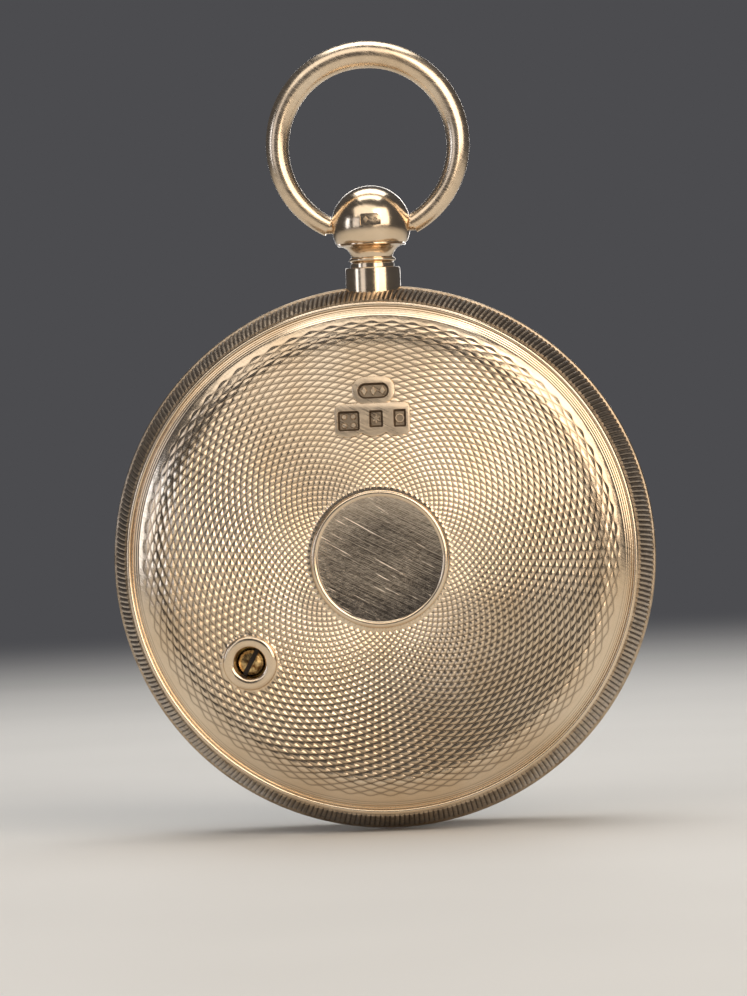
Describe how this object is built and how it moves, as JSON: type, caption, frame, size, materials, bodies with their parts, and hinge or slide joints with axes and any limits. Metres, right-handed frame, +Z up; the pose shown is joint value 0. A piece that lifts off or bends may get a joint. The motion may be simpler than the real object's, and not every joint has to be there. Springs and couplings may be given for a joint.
{
  "type": "pocket aneroid barometer",
  "caption": "Round watch-style pocket barometer with a milled edge, an engine-turned back, a ball pendant and a ring bow.",
  "frame": {"origin": "the inside of the bow's top, where a hook or a chain's swivel holds the barometer, on the pendant's axis", "axes": "+Z up the pendant's axis from the case to the bow; -Y out of the engine-turned back; +Y out of the dial; +X to the right when the back is looked at"},
  "size_m": [0.048, 0.0168, 0.0696],
  "materials": {
    "case_metal": "pale gold alloy, polished and engine turned",
    "glass": "clear bevelled glass",
    "movement_brass": "lacquered brass",
    "bright_steel": "bright steel",
    "blued_steel": "blued steel",
    "silvered_metal": "silvered brass",
    "nickel_silver": "spun nickel silver"
  },
  "bodies": {
    "bow": {"bow": "case_metal"},
    "case": {"case_band": "case_metal", "case_back": "case_metal", "screw_hole_collar": "case_metal", "bezel": "case_metal", "glass": "glass", "sight_ring": "silvered_metal", "pendant": "case_metal", "pendant_collar": "case_metal", "base_plate": "movement_brass", "case_screws": "bright_steel", "dial_pillars": "movement_brass", "dial": "silvered_metal", "dial_screws": "blued_steel", "adjuster_bush": "movement_brass", "capsule_upper": "nickel_silver", "capsule_lower": "nickel_silver", "capsule_rim": "movement_brass", "capsule_foot": "movement_brass", "capsule_nut": "movement_brass", "carrier_posts": "movement_brass", "carrier_pivot_screws": "bright_steel", "bridge_posts": "movement_brass", "lower_bridge": "movement_brass", "upper_bridge": "movement_brass", "bridge_spacers": "movement_brass", "bridge_screws": "bright_steel", "arbor_bushes": "movement_brass", "hairspring": "blued_steel", "hairspring_stud": "movement_brass", "rocker_cocks": "movement_brass", "rocker_pivot_screws": "bright_steel", "chain": "bright_steel"},
    "adjusting_screw": {"adjusting_screw": "movement_brass"},
    "carrier": {"spring_carrier": "movement_brass", "mainspring": "bright_steel", "mainspring_clamp": "movement_brass", "mainspring_screws": "bright_steel"},
    "lever": {"lever": "movement_brass", "lever_screw": "bright_steel", "lever_pin": "bright_steel"},
    "link": {"link": "bright_steel"},
    "post": {"capsule_post": "bright_steel", "knife_edge": "bright_steel"},
    "rocker": {"rocker_shaft": "bright_steel", "rocker_arm": "movement_brass", "crank": "movement_brass", "crank_pin": "bright_steel"},
    "pointer": {"arbor": "bright_steel", "drum": "movement_brass", "hairspring_collet": "movement_brass", "pointer": "blued_steel", "pointer_boss": "movement_brass"}
  },
  "joints": [
    {"name": "bow_swing", "type": "hinge", "parent": "bow", "child": "case", "pos_m": [0, 0, -0.01388], "axis": [1, 0, 0], "range_deg": [-138, 132]},
    {"name": "adjusting_screw_turn", "type": "hinge", "parent": "case", "child": "adjusting_screw", "pos_m": [-0.01171, -0.00549, -0.05181], "axis": [0, 1, 0], "range_deg": [-180, 180]},
    {"name": "carrier_tilt", "type": "hinge", "parent": "case", "child": "carrier", "pos_m": [-0.00402, -0.0023, -0.04615], "axis": [-0.5934, 0, 0.8049], "range_deg": [-1.05, 1.05]},
    {"name": "pointer_turn", "type": "hinge", "parent": "case", "child": "pointer", "pos_m": [0, 0.0055, -0.04318], "axis": [0, 1, 0], "range_deg": [-108, 162], "stiffness_Nm_per_rad": 0.00002},
    {"name": "rocker_turn", "type": "hinge", "parent": "case", "child": "rocker", "pos_m": [0.00966, -0.0016, -0.03606], "axis": [-0.5934, 0, 0.8049], "range_deg": [-22.4, 14.9], "deforming": ["chain", "hairspring"]},
    {"name": "lever_lift", "type": "hinge", "parent": "carrier", "child": "lever", "pos_m": [-0.01348, -0.00075, -0.05312], "axis": [-0.5934, 0, 0.8049], "range_deg": [-0.54, 0.81], "deforming": ["mainspring"]},
    {"name": "link_turn", "type": "hinge", "parent": "lever", "child": "link", "pos_m": [0.01124, 0.00065, -0.03989], "axis": [-0.5934, 0, 0.8049], "range_deg": [-0.81, 0.54]},
    {"name": "post_travel", "type": "slide", "parent": "case", "child": "post", "axis": [0, 1, 0], "range_m": [-0.000129, 0.000194], "deforming": ["capsule_upper"]}
  ],
  "couplings": [
    {"joint": "carrier_tilt", "follows": "adjusting_screw_turn", "ratio": 0.005833},
    {"joint": "rocker_turn", "follows": "pointer_turn", "ratio": -0.13778},
    {"joint": "lever_lift", "follows": "pointer_turn", "ratio": 0.004965},
    {"joint": "link_turn", "follows": "pointer_turn", "ratio": -0.004965},
    {"joint": "post_travel", "follows": "pointer_turn", "m_per_rad": 0.00006827}
  ]
}
